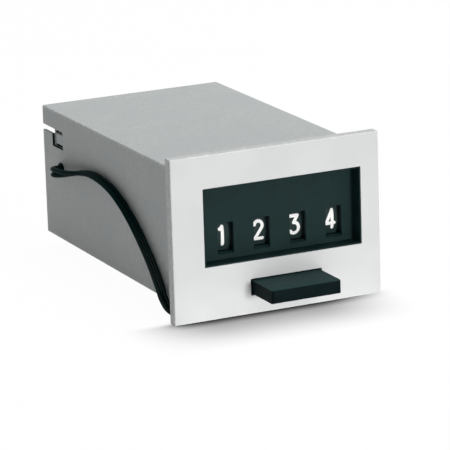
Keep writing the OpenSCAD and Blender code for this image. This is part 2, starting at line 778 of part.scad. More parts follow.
module drive_pawl()
    color("#b4b7b9") {
        for (i = [0:3])
            along_x(wheel_x(i) - rim_w / 2 - ratchet_w + 0.4, wheel_x(i) - rim_w / 2 - 0.4)
                polygon([
                    [arm_y - 5, pawl_z + 0.6], [arm_y - 5, pawl_z + 2],
                    [arm_y - 8.4, pawl_z + 2.1], [tip_y + 0.4, tip_z + 0.5],
                    [tip_y, tip_z], [arm_y - 8.4, pawl_z + 0.6]
                ]);
        along_x(wheel_x(0) - rim_w / 2 - ratchet_w + 0.4, wheel_x(3) - rim_w / 2 - 0.4)
            span(arm_y - 8, arm_y - 4, pawl_z + 0.6, pawl_z + 2);
        for (x = [mag_x - 6, mag_x + 4.2])
            along_x(x, x + 1.8) difference() {
                union() {
                    translate([arm_y, pawl_z]) circle(1.8);
                    polygon([
                        [arm_y - 6, pawl_z + 0.6], [arm_y - 6, pawl_z + 2], [arm_y - 4, pawl_z + 2],
                        [arm_y, pawl_z + 1.8], [arm_y, pawl_z - 1.2]
                    ]);
                }
                translate([arm_y, pawl_z]) circle(pawl_pin_r + run_gap);
            }
    }

module pawl_pin()
    color("#c4c6c8") rod_x(mag_x - 6.3, mag_x + 6.3, arm_y, pawl_z, pawl_pin_r);

module pawl_spring()
    color("#c2a24e")
        along_x(mag_x - 1.5, mag_x + 1.5)
            polygon([
                [arm_y + 0.7, pawl_z - 2.1], [arm_y + 0.7, pawl_z - 1.8], [arm_y - 0.7, pawl_z - 1.8],
                [arm_y - 6.9, pawl_z + 0.5], [arm_y - 7, pawl_z + 0.25], [arm_y - 0.8, pawl_z - 2.1]
            ]);

front_plate();
display_mask();
housing();
rear_cover();
rear_post();
rear_screw();
lead_grommet();
inner_leads();
lead_a();
lead_b();
lead_tips();
left_frame_plate();
right_frame_plate();
frame_spacers();
frame_screws();
wheel_shaft();
shaft_pinion();
shaft_clip();
brake_washers();
thousands_wheel();
hundreds_wheel();
tens_wheel();
units_wheel();
thousands_pawl();
hundreds_pawl();
tens_pawl();
units_pawl();
reset_key();
reset_slide();
reset_spring();
guide_stud();
idler_gear();
idler_axle();
yoke();
coil_core();
core_screw();
coil_bobbin();
coil_winding();
coil_pins();
armature();
armature_pin();
armature_spring();
drive_pawl();
pawl_pin();
pawl_spring();
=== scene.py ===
import math

import bmesh
import bpy
from mathutils import Matrix, Vector


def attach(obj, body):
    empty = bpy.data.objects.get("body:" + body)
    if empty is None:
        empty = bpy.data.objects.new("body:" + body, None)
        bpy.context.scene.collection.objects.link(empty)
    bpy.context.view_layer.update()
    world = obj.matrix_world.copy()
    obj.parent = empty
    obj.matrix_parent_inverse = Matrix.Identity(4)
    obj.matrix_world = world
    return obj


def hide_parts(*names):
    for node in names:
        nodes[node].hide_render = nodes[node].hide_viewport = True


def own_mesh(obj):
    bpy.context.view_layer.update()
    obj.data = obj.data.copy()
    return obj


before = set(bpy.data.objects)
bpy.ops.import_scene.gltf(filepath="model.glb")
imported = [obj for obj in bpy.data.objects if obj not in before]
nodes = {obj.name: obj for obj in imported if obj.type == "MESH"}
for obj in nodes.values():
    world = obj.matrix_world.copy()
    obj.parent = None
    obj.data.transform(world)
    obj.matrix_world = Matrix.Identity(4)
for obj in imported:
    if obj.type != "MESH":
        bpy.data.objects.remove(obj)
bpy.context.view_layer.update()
scene = bpy.context.scene
scene.view_settings.view_transform = "Standard"
mm = 0.001
weld = 0.001  # mm, points closer than this are one
near = 0.01  # mm, how close counts as in place
past = 0.1  # mm, how far a picking box reaches past a face
creaseAngle = math.radians(42)  # steeper edges shade sharp
sharpAngle = math.radians(50)  # steeper edges get rounded
squarely = 0.9  # cosine, how straight a picked face looks along its axis
xWay, yWay, zWay = (1, 0, 0), (0, 1, 0), (0, 0, 1)

cameraSpot = {
    "place": (-367.74, -756.31, 225.98),  # mm, fitted to the plate's and case's corners
    "up": (0.1381, 0.2211, 0.9654),
    "back": (-0.4096, -0.8747, 0.2590),
    "lens": 267.6,
    "sensor": 36,
}


def setCamera():
    data = bpy.data.cameras.new("camera")
    data.sensor_width = cameraSpot["sensor"]
    data.lens = cameraSpot["lens"]
    back = Vector(cameraSpot["back"]).normalized()
    right = Vector(cameraSpot["up"]).cross(back).normalized()
    turn = Matrix((right, back.cross(right), back)).transposed().to_4x4()
    camera = bpy.data.objects.new("camera", data)
    camera.matrix_world = Matrix.Translation(Vector(cameraSpot["place"]) * mm) @ turn
    scene.collection.objects.link(camera)
    scene.camera = camera


setCamera()
print("camera set")


class Wire:  # one output socket, with plain maths on it
    def __init__(self, finish, socket):
        self.finish = finish
        self.socket = socket

    def maths(self, operation, first, second=0.0):
        return self.finish.node("ShaderNodeMath", {"operation": operation}, {0: first, 1: second})

    def __add__(self, other):
        return self.maths("ADD", self, other)

    def __radd__(self, other):
        return self.maths("ADD", other, self)

    def __sub__(self, other):
        return self.maths("SUBTRACT", self, other)

    def __rsub__(self, other):
        return self.maths("SUBTRACT", other, self)

    def __mul__(self, other):
        return self.maths("MULTIPLY", self, other)

    def __rmul__(self, other):
        return self.maths("MULTIPLY", other, self)

    def __abs__(self):
        return self.maths("ABSOLUTE", self)

    def atLeast(self, other):
        return self.maths("MAXIMUM", self, other)

    def ramp(self, low, high):  # 0 below low, 1 above high, smooth between
        return self.finish.node(
            "ShaderNodeMapRange",
            {"interpolation_type": "SMOOTHSTEP"},
            {"Value": self, "From Min": low, "From Max": high},
        )


class Finish:  # one node tree, and the one way a node goes into it
    def __init__(self, name, world=None, **fixed):
        self.material = world or bpy.data.materials.new(name)
        self.material.use_nodes = True
        self.tree = self.material.node_tree
        self.shader = self.tree.nodes["Background" if world else "Principled BSDF"]
        for socket, value in fixed.items():
            self.shader.inputs[socket.replace("_", " ")].default_value = value

    def node(self, kind, settings, sockets, out=0):
        made = self.tree.nodes.new(kind)
        for name, value in settings.items():
            setattr(made, name, value)
        for name, value in sockets.items():
            self.join(made.inputs[name], value)
        return Wire(self, made.outputs[out])

    def join(self, socket, value):
        if isinstance(value, Wire):
            self.tree.links.new(value.socket, socket)
        else:
            socket.default_value = value

    def feed(self, socket, value):
        self.join(self.shader.inputs[socket], value)

    def place(self):
        return self.node("ShaderNodeTexCoord", {}, {}, "Object")

    def axes(self):
        spot = self.node("ShaderNodeVectorMath", {"operation": "SCALE"}, {0: self.place(), "Scale": 1 / mm})
        split = self.node("ShaderNodeSeparateXYZ", {}, {0: spot}).socket.node
        return [Wire(self, split.outputs[k]) for k in range(3)]  # millimetres

    def grain(self, size, detail=2.0, rough=0.5, stretch=(1, 1, 1)):  # noise with spots of size mm
        where = self.node("ShaderNodeMapping", {}, {"Vector": self.place(), "Scale": stretch})
        return self.node(
            "ShaderNodeTexNoise",
            {},
            {"Vector": where, "Scale": 1 / mm / size, "Detail": detail, "Roughness": rough},
        )

    def blend(self, share, first, second):
        return self.node("ShaderNodeMix", {"data_type": "RGBA"}, {0: share, 6: first, 7: second}, 2)

    def bump(self, height, depth, strength=1.0):  # depth in mm
        relief = self.node(
            "ShaderNodeBump", {}, {"Strength": strength, "Distance": depth * mm, "Height": height}
        )
        self.feed("Normal", relief)


def shade(red, green=None, blue=None):  # screen values 0 to 255 to a linear colour
    parts = (red, red if green is None else green, red if blue is None else blue)
    lin = [((c / 255 + 0.055) / 1.055) ** 2.4 if c > 10 else c / 255 / 12.92 for c in parts]
    return (*lin, 1)


wearAndPaintedLight = {  # where on the part a finish changes, in mm: wear, and painted light and shade
    "plateRim": (29.75, 21.75, 0.2),  # across, up and how softly
    "plateEdge": (-2.75, -2.6),  # from the front face to the sawn edges
    "caseFolds": (26.2, 17.45),  # across and up
    "foldSpread": (-0.3, 0.5),
    # painted shade along the case's bottom folds
    "caseFootShade": (-18.25, -17.75),
    "leadFoot": (-14, 2),
    # painted light on the key's top face
    "keyTopLight": (-13.25, -13.05),
}


def satinPlate():
    f = Finish("satin_plate", Metallic=0.1, Specular_IOR_Level=0.35)
    x, y, z = f.axes()
    fine = f.grain(0.16, 3, 0.6)
    broad = f.grain(14, 2, 0.5)
    across, up, soft = wearAndPaintedLight["plateRim"]
    rim = (abs(x) - across).atLeast(abs(z) - up).ramp(-soft, soft)
    base = f.blend(broad.ramp(0.35, 0.65), shade(193, 194, 194), shade(197, 198, 198))
    base = f.blend(y.ramp(*wearAndPaintedLight["plateEdge"]), base, shade(178, 180, 181))  # the sawn edges are duller
    rubbed = rim * f.grain(0.8, 3).ramp(0.35, 0.7)
    f.feed("Base Color", f.blend(rubbed * 0.25, base, shade(238, 238, 236)))
    f.feed("Roughness", 0.48 + fine * 0.16)
    f.bump(fine, 0.006, 0.5)
    return f.material


def greySheet():
    f = Finish("grey_sheet", Metallic=0.08, Specular_IOR_Level=0.18)
    x, _, z = f.axes()
    spots = f.grain(1.1, 4, 0.65)
    clouds = f.grain(16, 3, 0.5)
    across, up = wearAndPaintedLight["caseFolds"]
    spread = wearAndPaintedLight["foldSpread"]
    bend = (abs(x) - across).ramp(*spread) * (abs(z) - up).ramp(*spread)
    # painted shade: darker towards the underside of the case
    foot = 1 - z.ramp(*wearAndPaintedLight["caseFootShade"])
    base = f.blend(spots.ramp(0.3, 0.7), shade(169, 173, 172), shade(181, 185, 184))
    base = f.blend(clouds.ramp(0.35, 0.65) * 0.5, base, shade(170, 174, 175))
    rubbed = bend * f.grain(0.9, 4, 0.7).ramp(0.42, 0.68)
    base = f.blend(rubbed * 0.6, base, shade(216, 217, 215))
    f.feed("Base Color", f.blend(0.8 * foot, base, shade(70, 74, 75)))  # painted shade along the bottom folds
    f.feed("Roughness", 0.46 + spots * 0.16 - rubbed * 0.12)
    f.bump(f.grain(0.3, 3, 0.6), 0.012, 0.5)
    return f.material


def blackMoulding(name, gloss, dark, light, paintedLightAbove=None):
    f = Finish(name, Specular_IOR_Level=gloss)
    spark = f.grain(0.12, 2, 0.6)
    haze = f.grain(5, 3, 0.55)
    base = f.blend(haze.ramp(0.3, 0.7), shade(*dark), shade(*light))
    if paintedLightAbove:  # painted light: the face above these heights is painted paler, as if lit from above
        base = f.blend(f.axes()[2].ramp(*paintedLightAbove), base, shade(32, 55, 56))
    f.feed("Base Color", base)
    f.feed("Roughness", 0.5 + haze * 0.16)
    f.bump(spark, 0.012, 0.6)
    return f.material


def leadCover():
    f = Finish("lead_cover", Specular_IOR_Level=0.005, Coat_Roughness=0.12)
    foot = 1 - f.axes()[2].ramp(*wearAndPaintedLight["leadFoot"])
    dust = f.grain(2.4, 3, 0.6)
    f.feed("Base Color", f.blend(dust.ramp(0.45, 0.75), shade(7, 30, 30), shade(12, 36, 36)))
    f.feed("Roughness", 0.26 + dust * 0.16)
    f.feed("Coat Weight", 0.16 * foot)  # glossier low down
    f.bump(f.grain(0.35, 2, 0.5), 0.01, 0.4)
    return f.material


def tinnedWire():
    f = Finish("tinned_wire", Metallic=1.0)
    dull = f.grain(0.5, 3, 0.6)
    f.feed("Base Color", f.blend(dull, shade(206, 203, 194), shade(176, 173, 165)))
    f.feed("Roughness", 0.26 + dull * 0.2)
    f.bump(dull, 0.01, 0.4)
    return f.material


def wheelMoulding():
    f = Finish("wheel_moulding", Specular_IOR_Level=0.12)
    # painted light: the wheels' black is paler than the mask's, to offset the shade inside the openings
    grain = f.grain(0.2, 3, 0.6)
    f.feed("Base Color", f.blend(grain, shade(32, 47, 47), shade(38, 53, 53)))
    f.feed("Roughness", 0.48 + grain * 0.18)
    f.bump(grain, 0.008, 0.5)
    return f.material


def figurePaint():
    f = Finish("figure_paint", Specular_IOR_Level=0.3)
    grain = f.grain(0.25, 3, 0.6)
    f.feed("Base Color", f.blend(grain.ramp(0.3, 0.8), shade(254, 254, 252), shade(246, 246, 243)))
    f.feed("Roughness", 0.42 + grain * 0.15)
    f.bump(grain, 0.006, 0.4)
    return f.material


def platedSteel():
    f = Finish("plated_steel", Metallic=1.0)
    brushed = f.grain(0.5, 3, 0.6, (1, 0.06, 1))
    cloud = f.grain(3, 3, 0.6)
    f.feed("Base Color", f.blend(cloud.ramp(0.3, 0.7), shade(196, 198, 200), shade(178, 181, 180)))
    f.feed("Roughness", 0.28 + brushed * 0.2)
    f.bump(brushed, 0.006, 0.4)
    return f.material


def turnedBrass():
    f = Finish("turned_brass", Metallic=1.0)
    cloud = f.grain(1.5, 3, 0.6)
    f.feed("Base Color", f.blend(cloud, shade(214, 181, 106), shade(184, 148, 78)))
    f.feed("Roughness", 0.25 + cloud * 0.2)
    f.bump(f.grain(0.25, 2), 0.005, 0.4)
    return f.material


def ivoryMoulding():
    f = Finish("ivory_moulding", Specular_IOR_Level=0.35)
    cloud = f.grain(4, 3, 0.6)
    f.feed("Base Color", f.blend(cloud, shade(234, 228, 208), shade(222, 214, 190)))
    f.feed("Roughness", 0.45 + cloud * 0.15)
    f.bump(f.grain(0.2, 2), 0.008, 0.5)
    return f.material


def woundCoil():
    f = Finish("wound_coil", Coat_Weight=0.3)
    turns = f.node(
        "ShaderNodeTexWave",
        {"bands_direction": "Y"},
        {"Vector": f.place(), "Scale": 700, "Distortion": 0.6},
    )
    f.feed("Base Color", f.blend(turns, shade(116, 58, 24), shade(176, 100, 48)))
    f.feed("Metallic", 0.5 + turns * 0.3)
    f.feed("Roughness", 0.3 + f.grain(1.2, 3) * 0.2)
    f.bump(turns, 0.12, 0.7)
    return f.material


finishes = {
    "plate": satinPlate(),
    "sheet": greySheet(),
    "black": blackMoulding("black_moulding", 0.1, (14, 35, 35), (19, 40, 40)),
    "key": blackMoulding("key_black", 0.05, (0, 12, 14), (1, 17, 19), wearAndPaintedLight["keyTopLight"]),
    "lead": leadCover(),
    "tinned": tinnedWire(),
    "wheel": wheelMoulding(),
    "figure": figurePaint(),
    "steel": platedSteel(),
    "brass": turnedBrass(),
    "ivory": ivoryMoulding(),
    # painted shade: dark on the cut edges round the latch lug, for the shade in its gaps
    "cutEdgeShade": blackMoulding("cut_edge_shade", 0.05, (16, 36, 36), (24, 46, 46)),
    "coil": woundCoil(),
}
print("finishes mixed:", len(finishes))


def edgesOf(verts):  # each edge once, in a steady order
    return list(dict.fromkeys(e for v in verts for e in v.link_edges))


def showPiece(name, data, finish, body, stands=()):
    data.materials.append(finishes[finish])
    obj = bpy.data.objects.new(name, data)
    scene.collection.objects.link(obj)
    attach(obj, body)
    if stands:
        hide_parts(*stands)
    return obj


def meshFrom(name, bm):  # millimetres to metres, closed and smooth
    bmesh.ops.remove_doubles(bm, verts=bm.verts, dist=weld)
    bmesh.ops.recalc_face_normals(bm, faces=bm.faces)
    bmesh.ops.scale(bm, vec=(mm, mm, mm), verts=bm.verts)
    mesh = bpy.data.meshes.new(name)
    bm.to_mesh(mesh)
    bm.free()
    mesh.polygons.foreach_set("use_smooth", [True] * len(mesh.polygons))
    mesh.set_sharp_from_angle(angle=creaseAngle)
    return mesh


def showMesh(name, bm, finish, body, stands):
    return showPiece(name, meshFrom(name, bm), finish, body, stands)


def evenShading(obj):  # flat faces stay flat beside the rounds
    obj.modifiers.new("even", "WEIGHTED_NORMAL").keep_sharp = True
    return obj


leads = {
    "start": (-27.4, 76.79, 2.2),
    "diameter": 1.35,
    "a": (
        (0, 0, -0.72), (-0.4, 0, -0.72), (-1.8, -0.38, -0.7), (-2.8, -1.42, -0.6),
        (-3.15, -2.85, -0.4), (-2.9, -6.2, 0.2), (-2.15, -10.2, 1.2), (-1.3, -14.4, 2.3),
        (-0.7, -18.1, 3.2), (-0.4, -22, 3.8), (-0.4, -25.9, 4.1), (-0.4, -29.8, 4),
        (-0.4, -33.7, 3.6), (-0.4, -37.5, 2.9), (-0.4, -41.2, 1.8), (-0.4, -44.8, 0.4),
        (-0.4, -48.2, -1.3), (-0.4, -51.5, -3.2), (-0.4, -54.6, -5.3), (-0.4, -57.6, -7.5),
        (-0.4, -60.5, -9.8), (-0.4, -63.2, -12.2), (-0.4, -65.7, -14.8), (-0.4, -68, -17.4),
        (-0.4, -70, -20), (0.5, -71.4, -22.1), (2.5, -71.9, -23.4), (5.9, -71.8, -23.5),
        (9.7, -71.4, -23.5), (13.5, -70.6, -23.5), (16.9, -69, -23.5), (19.6, -66.4, -23.5),
        (21.2, -63, -23.5), (21.9, -59.2, -23.5), (22, -55.3, -23.5), (21.9, -51.4, -23.5),
        (21.7, -47.5, -23.5), (21.5, -43.6, -23.5),
    ),
    "b": (
        (0, 0, 0.72), (-0.4, 0, 0.72), (-1.8, -0.38, 0.8), (-2.85, -1.42, 0.95), (-3.3, -2.9, 1.2),
        (-3.55, -6.8, 1.65), (-3.35, -11, 2.1), (-2.8, -15.2, 2.7), (-2.2, -19, 3.4),
        (-1.9, -22.6, 3.9), (-1.9, -26.3, 4.1), (-1.9, -30.1, 4), (-1.9, -33.9, 3.6),
        (-1.9, -37.7, 2.9), (-1.9, -41.4, 1.8), (-1.9, -44.9, 0.4), (-1.9, -48.3, -1.3),
        (-1.9, -51.6, -3.2), (-1.9, -54.7, -5.3), (-1.9, -57.7, -7.5), (-1.9, -60.6, -9.8),
        (-1.9, -63.3, -12.2), (-1.9, -65.8, -14.8), (-1.9, -68.2, -17.4), (-1.8, -70.4, -20),
        (-0.9, -72.3, -22.2), (1.2, -73.4, -23.4), (4.6, -73.6, -23.5), (8.5, -73.3, -23.5),
        (12.4, -72.7, -23.5), (16.2, -71.5, -23.5), (19.7, -69.3, -23.5), (22.2, -66.1, -23.5),
        (23.5, -62.3, -23.5), (23.9, -58.4, -23.5), (23.9, -54.5, -23.5), (23.8, -50.5, -23.5),
        (23.7, -46.6, -23.5),
    ),
    "smooth": 5,
    "tip": {
        "length": 5, "strands": 7, "strand": 0.14, "spread": 0.255,
        "turns": 1.4, "steps": 42, "round": 8,
    },
}


def strandTip(name, end, way):  # tinned strands twisted round a straight one
    tip = leads["tip"]
    bm = bmesh.new()
    step = Vector((tip["length"] / tip["steps"], 0, 0))
    across = Matrix.Rotation(math.pi / 2, 4, "Y")
    for k in range(tip["strands"]):
        lean = Matrix.Rotation(math.tau * k / (tip["strands"] - 1), 4, "X")
        out = Matrix.Translation((0, tip["spread"] if k else 0, 0))
        stand = lean @ out @ across
        circle = bmesh.ops.create_circle(bm, segments=tip["round"], radius=tip["strand"], matrix=stand)
        ring = circle["verts"]
        bmesh.ops.spin(
            bm, geom=ring + edgesOf(ring), cent=(0, 0, 0), axis=xWay, dvec=step,
            angle=math.tau * tip["turns"], steps=tip["steps"], use_duplicate=False,
        )
    bmesh.ops.holes_fill(bm, edges=[e for e in bm.edges if e.is_boundary])
    turn = Vector(xWay).rotation_difference(way).to_matrix().to_4x4()
    bmesh.ops.transform(bm, matrix=Matrix.Translation(end) @ turn, verts=bm.verts)
    return showMesh(name, bm, "tinned", "case", ["lead_tips"])


def layLead(which):
    start = Vector(leads["start"])
    route = [start + Vector(p) for p in leads[which]]
    data = bpy.data.curves.new("lead_" + which + "_flex", "CURVE")
    data.dimensions = "3D"
    data.bevel_depth = leads["diameter"] / 2 * mm
    data.bevel_resolution = leads["smooth"]
    data.resolution_u = leads["smooth"]
    data.use_fill_caps = True
    line = data.splines.new("BEZIER")
    line.bezier_points.add(len(route) - 1)
    for point, spot in zip(line.bezier_points, route):
        point.co = spot * mm
        point.handle_left_type = point.handle_right_type = "AUTO"
    tip = strandTip("tip_" + which, route[-1], (route[-1] - route[-2]).normalized())
    flex = showPiece(data.name, data, "lead", "case", ["lead_" + which])
    print("lead", which, "laid:", round(line.calc_length() / mm, 1), "mm")


layLead("a")
layLead("b")


def block(bm, low, high):
    low, high = Vector(low), Vector(high)
    made = bmesh.ops.create_cube(bm, size=1)["verts"]
    bmesh.ops.scale(bm, vec=high - low, verts=made)
    bmesh.ops.translate(bm, vec=(low + high) / 2, verts=made)


def cut(bm, axis, *places):  # score the whole shape across, ready for an opening
    across = Vector([axis == k for k in "xyz"])
    for at in places:
        everything = bm.verts[:] + bm.edges[:] + bm.faces[:]
        bmesh.ops.bisect_plane(bm, geom=everything, dist=weld / 2, plane_co=across * at, plane_no=across)


def facesIn(bm, low, high, facing=None):  # faces whose middle is in the box
    found = []
    for face in bm.faces:
        mid = face.calc_center_median()
        inside = all(low[k] - weld < mid[k] < high[k] + weld for k in range(3))
        if inside and (facing is None or abs(face.normal.dot(Vector(facing))) > squarely):
            found.append(face)
    return found


def pierce(bm, facing, *boxes):  # take both skins away and join the two rims
    gone = dict.fromkeys(face for low, high in boxes for face in facesIn(bm, low, high, facing))
    bmesh.ops.delete(bm, geom=list(gone), context="FACES")
    return bmesh.ops.bridge_loops(bm, edges=[e for e in bm.edges if e.is_boundary])["faces"]


def pull(bm, faces, by):  # draw faces out as a region
    made = bmesh.ops.extrude_face_region(bm, geom=faces)["geom"]
    moved = [g for g in made if isinstance(g, bmesh.types.BMVert)]
    bmesh.ops.delete(bm, geom=faces, context="FACES")
    bmesh.ops.translate(bm, vec=by, verts=moved)
    return moved


def sharpEdges(bm):
    bm.normal_update()
    return [e for e in bm.edges if len(e.link_faces) == 2 and e.calc_face_angle() > sharpAngle]


def ease(bm, edges, width, segments=2):  # small round along edges
    bmesh.ops.bevel(
        bm, geom=edges, offset=width, offset_type="OFFSET", segments=segments, profile=0.5,
        affect="EDGES", clamp_overlap=True, material=-1,
    )


plateFace = {
    "half": (30, 22),  # width and height
    "front": -3,
    "window": (-21.0, 24.6, -7.75, 13.15),  # left, right, foot, head
    "keySlot": (-8.05, 12.65, -17.05, -12.65),
    "pocket": (27.1, 18.35, 0.8),  # half width, half height and depth, for the case's front
    "edge": 0.3,
    "ease": 0.1,
}


def makePlate():
    p = plateFace
    w, h = p["half"]
    bm = bmesh.new()
    block(bm, (-w, p["front"], -h), (w, 0, h))
    px, pz, deep = p["pocket"]
    cut(bm, "x", -px, px, p["window"][0], p["window"][1], p["keySlot"][0], p["keySlot"][1])
    cut(bm, "z", -pz, pz, p["window"][2], p["window"][3], p["keySlot"][2], p["keySlot"][3])
    bm.normal_update()
    pull(bm, facesIn(bm, (-px, -near, -pz), (px, near, pz), yWay), (0, -deep, 0))
    bm.normal_update()
    for x0, x1, z0, z1 in (p["window"], p["keySlot"]):
        pierce(bm, yWay, ((x0, p["front"] - past, z0), (x1, past, z1)))
    rim = {
        v for v in bm.verts
        if v.co.y < p["front"] + near and (abs(v.co.x) > w - near or abs(v.co.z) > h - near)
    }
    outline = [e for e in sharpEdges(bm) if rim.issuperset(e.verts)]
    ease(bm, outline, p["edge"], segments=3)
    ease(bm, sharpEdges(bm), p["ease"])
    evenShading(showMesh("plate_face", bm, "plate", "case", ["front_plate"]))


makePlate()
print("plate made")

maskMoulding = {
    "outside": (-20.95, 24.55, -7.7, 13.1),  # left, right, foot, head
    "depth": (-2.9, 2.4),
    "wall": 0.35,
    "floor": 1.2,
    "flange": (-0.8, 0.4, 1.25, 3.65),  # front, rear, and how far out sideways and upwards
    "digits": (-13.0, -2.5, 8.0, 18.5),  # middle of each opening and its wheel
    "opening": (4.6, 7.8),
    "middle": -1.6,  # height of the openings' middle
    "fall": 0.6,  # how far each opening's sill falls to the front
    "ease": 0.12,
}


def makeMask():
    m = maskMoulding
    x0, x1, z0, z1 = m["outside"]
    y0, y1 = m["depth"]
    bm = bmesh.new()
    block(bm, (x0, y0, z0), (x1, y1, z1))
    bm.normal_update()
    front = facesIn(bm, (x0, y0 - past, z0), (x1, y0 + past, z1), yWay)
    bmesh.ops.inset_region(bm, faces=front, thickness=m["wall"], use_even_offset=True)
    pull(bm, front, (0, m["floor"] - y0, 0))
    fy0, fy1, side, head = m["flange"]
    cut(bm, "y", fy0, fy1)
    bm.normal_update()
    wide, high = (x1 - x0) / 2, (z1 - z0) / 2
    midX, midZ = (x0 + x1) / 2, (z0 + z1) / 2
    collar = []
    for face in bm.faces:
        mid = face.calc_center_median()
        outer = abs(mid.x - midX) > wide - near or abs(mid.z - midZ) > high - near
        if outer and fy0 < mid.y < fy1:
            collar.append(face)
    moved = pull(bm, collar, (0, 0, 0))
    grow = ((wide + side) / wide, 1, (high + head) / high)
    bmesh.ops.scale(bm, vec=grow, space=Matrix.Translation((-midX, 0, -midZ)), verts=moved)
    ow, oh = m["opening"]
    cut(bm, "x", *[x + s * ow / 2 for x in m["digits"] for s in (-1, 1)])
    sill, top = m["middle"] - oh / 2, m["middle"] + oh / 2
    cut(bm, "z", sill, top)
    for x in m["digits"]:
        bm.normal_update()
        left, right = x - ow / 2, x + ow / 2
        pierce(bm, yWay, ((left, m["floor"] - past, sill), (right, y1 + past, top)))
        fore = [
            v for v in bm.verts
            if left - near < v.co.x < right + near and abs(v.co.y - m["floor"]) + abs(v.co.z - sill) < near
        ]
        bmesh.ops.translate(bm, vec=(0, 0, -m["fall"]), verts=fore)
    ease(bm, sharpEdges(bm), m["ease"])
    evenShading(showMesh("mask_moulding", bm, "black", "case", ["display_mask"]))


makeMask()
print("mask made")

keyMoulding = {
    "low": (-7.7, -15, -16.7),
    "high": (12.3, 2.5, -13.0),
    "collar": (-0.75, 1, 1.5),  # front, rear and how far out
    "nose": 1.0,
    "ease": 0.15,
}


def makeKey():
    k = keyMoulding
    low, high = k["low"], k["high"]
    bm = bmesh.new()
    block(bm, low, high)
    y0, y1, out = k["collar"]
    cut(bm, "y", y0, y1)
    bm.normal_update()
    for x, way in ((low[0], -out), (high[0], out)):
        pull(bm, facesIn(bm, (x - past, y0, low[2]), (x + past, y1, high[2]), xWay), (way, 0, 0))
    nose = [e for e in sharpEdges(bm) if all(v.co.y < low[1] + near for v in e.verts)]
    ease(bm, nose, k["nose"], segments=5)
    ease(bm, sharpEdges(bm), k["ease"])
    evenShading(showMesh("key_moulding", bm, "key", "reset", ["reset_key"]))


makeKey()
print("key made")

caseSheet = {
    "half": (27, 18.25),  # width and height
    "run": (-0.8, 88.99),  # front to rear
    "sheet": 0.8,
    "bend": (0.5, 0.15),  # round of the folds, outside and inside
    "seam": 0.15,  # half the gap under the case
    "window": (75.29, 82.49, 8, 13),  # front, rear, foot, head
    "slot": (81.99, 11.4, 13),  # from here to the rear edge
    "hole": (76.79, 2.2, 1.75, 2.5),  # place, radius and half the square scored round it
    "holeSteps": 28,
    "ease": 0.1,
}


def makeCase():
    c = caseSheet
    w, h = c["half"]
    y0, y1 = c["run"]
    t = c["sheet"]
    bm = bmesh.new()
    block(bm, (-w, y0, -h), (w, y1, h))
    bm.normal_update()
    bmesh.ops.delete(bm, geom=facesIn(bm, (-w, y0, -h), (w, y1, h), yWay), context="FACES")
    wy0, wy1, wz0, wz1 = c["window"]
    sy, sz0, sz1 = c["slot"]
    hy, hz, hr, reach = c["hole"]
    cut(bm, "y", wy0, sy, wy1, hy - reach, hy + reach)
    cut(bm, "z", wz0, sz0, wz1, hz - reach, hz + reach)
    cut(bm, "x", -c["seam"], c["seam"])
    bm.normal_update()
    gone = facesIn(bm, (-w, wy0, wz0), (w, wy1, wz1), xWay)
    gone += facesIn(bm, (-w, sy, sz0), (w, y1, sz1), xWay)
    gone += facesIn(bm, (-c["seam"], y0, -h), (c["seam"], y1, 0), zWay)
    bmesh.ops.delete(bm, geom=list(dict.fromkeys(gone)), context="FACES")
    before = {e for e in bm.edges if e.is_boundary}
    gone = facesIn(bm, (-w, hy - reach, hz - reach), (0, hy + reach, hz + reach), xWay)
    bmesh.ops.delete(bm, geom=gone, context="FACES")
    square = [e for e in bm.edges if e.is_boundary and e not in before]
    stand = Matrix.Translation((-w, hy, hz)) @ Matrix.Rotation(math.pi / 2, 4, "Y")
    ring = bmesh.ops.create_circle(bm, segments=c["holeSteps"], radius=hr, matrix=stand)["verts"]
    bmesh.ops.bridge_loops(bm, edges=square + edgesOf(ring))
    bmesh.ops.recalc_face_normals(bm, faces=bm.faces)
    bmesh.ops.solidify(bm, geom=bm.faces[:], thickness=t)
    for gap, bend in zip((0, t), c["bend"]):
        folds = [
            e for e in bm.edges
            if all(abs(abs(v.co.x) - w + gap) < near and abs(abs(v.co.z) - h + gap) < near for v in e.verts)
        ]
        ease(bm, folds, bend, segments=5)
    bm.normal_update()
    for face in facesIn(bm, (-w, wy0, wz0), (w, wy1, wz1)):
        if abs(face.normal.x) < squarely:  # the window's cut edges, painted dark as shade in the gap round the lug
            face.material_index = 1
    ease(bm, sharpEdges(bm), c["ease"])
    sheet = showMesh("case_sheet", bm, "sheet", "case", ["housing"])
    evenShading(sheet).data.materials.append(finishes["cutEdgeShade"])


makeCase()
print("case folded")

coverSheet = {
    "half": (26.05, 17.3),  # width and height
    "depth": (81.99, 82.99),
    "corner": 0.4,
    "ear": (0.8, 73.99, 7, 14),  # sheet, front end, foot, head
    "lug": (75.79, 80.59, 9.0, 11.9, 0.55),  # front, rear, foot, head and how far out
    "slit": (80.75, 81.75, 8.1, 12.8, 8.85, 12.05),  # behind, below and above the lug
    "ease": 0.12,
}


